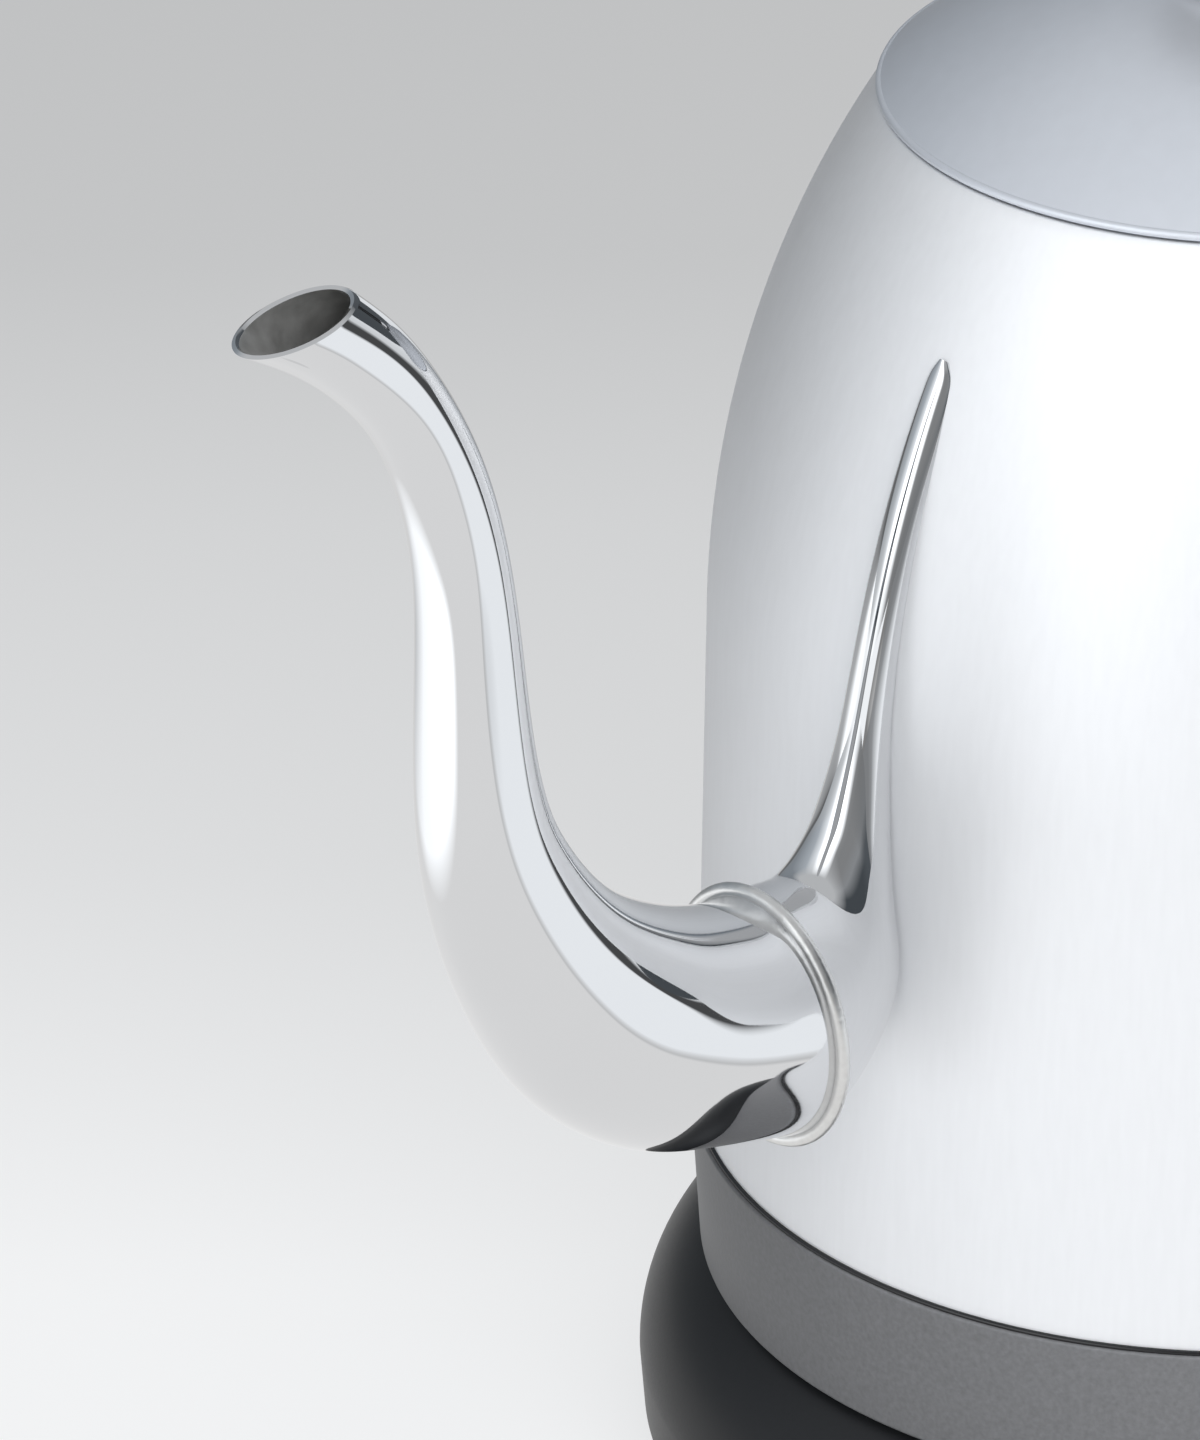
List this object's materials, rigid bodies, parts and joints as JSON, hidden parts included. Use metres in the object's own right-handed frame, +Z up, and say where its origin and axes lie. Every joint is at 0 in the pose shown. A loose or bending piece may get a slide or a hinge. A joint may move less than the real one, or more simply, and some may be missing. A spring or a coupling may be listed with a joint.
{
  "type": "gooseneck kettle",
  "caption": "Electric drip kettle of polished steel with a swan-neck spout, lift-off lid and side handle, standing cordless on a round power base.",
  "frame": {"origin": "on the table plane, under the upright axis of the kettle body", "axes": "+Z up, the spout points along -X and the handle along +X, +Y completes the right-handed frame"},
  "size_m": [0.2798, 0.139, 0.2162],
  "materials": {
    "satin_steel": "satin polished stainless steel",
    "mirror_steel": "mirror polished stainless steel",
    "brazed_silver": "frosted silver braze",
    "plain_steel": "plain stainless steel",
    "cast_aluminium": "pressed aluminium",
    "contact_brass": "plain brass",
    "ring_grey_plastic": "fine grained dark grey plastic",
    "black_plastic": "satin black plastic",
    "black_gloss": "glossy black seal",
    "black_rubber": "soft black rubber",
    "lamp_red": "clear red lens"
  },
  "bodies": {
    "power_base": {"base_feet": "black_rubber", "base_plate": "ring_grey_plastic", "base_cover": "black_plastic", "base_screws": "plain_steel", "cord_gland": "black_rubber", "base_socket": "ring_grey_plastic", "socket_contacts": "contact_brass"},
    "connector": {"plug_body": "ring_grey_plastic", "plug_pins": "contact_brass"},
    "kettle": {"body_shell": "satin_steel", "neck_ring": "satin_steel", "spout_horn": "mirror_steel", "spout_tube": "mirror_steel", "spout_bead": "brazed_silver", "base_ring": "ring_grey_plastic", "shell_gasket": "black_gloss", "bottom_cover": "ring_grey_plastic", "bottom_screws": "plain_steel", "heater_plate": "plain_steel", "heat_spreader": "cast_aluminium", "heating_element": "plain_steel", "control_unit": "ring_grey_plastic", "snap_disc": "plain_steel", "plate_studs": "plain_steel", "stud_nuts": "plain_steel", "steam_tube": "plain_steel", "tube_seal": "black_rubber", "handle_bracket": "plain_steel", "handle_screws": "plain_steel", "handle_side_screws": "plain_steel", "handle_left": "black_plastic", "handle_right": "black_plastic", "lever_pin": "plain_steel", "pilot_lamp": "lamp_red"},
    "lid": {"lid_dome": "satin_steel", "lid_cup": "plain_steel", "lid_knob": "black_plastic", "knob_collar": "plain_steel", "knob_screw": "plain_steel"},
    "switch_lever": {"switch_lever": "black_plastic"}
  },
  "joints": [
    {"name": "kettle_lift", "type": "slide", "parent": "power_base", "child": "connector", "axis": [0, 0, 1], "range_m": [0, 0.12]},
    {"name": "kettle_swivel", "type": "hinge", "parent": "connector", "child": "kettle", "pos_m": [0, 0, 0.036], "axis": [0, 0, 1], "continuous": true},
    {"name": "lid_lift", "type": "slide", "parent": "kettle", "child": "lid", "axis": [0, 0, 1], "range_m": [0, 0.06]},
    {"name": "switch_turn", "type": "hinge", "parent": "kettle", "child": "switch_lever", "pos_m": [0.081, 0, 0.037], "axis": [0, 1, 0], "range_deg": [0, 14]}
  ]
}
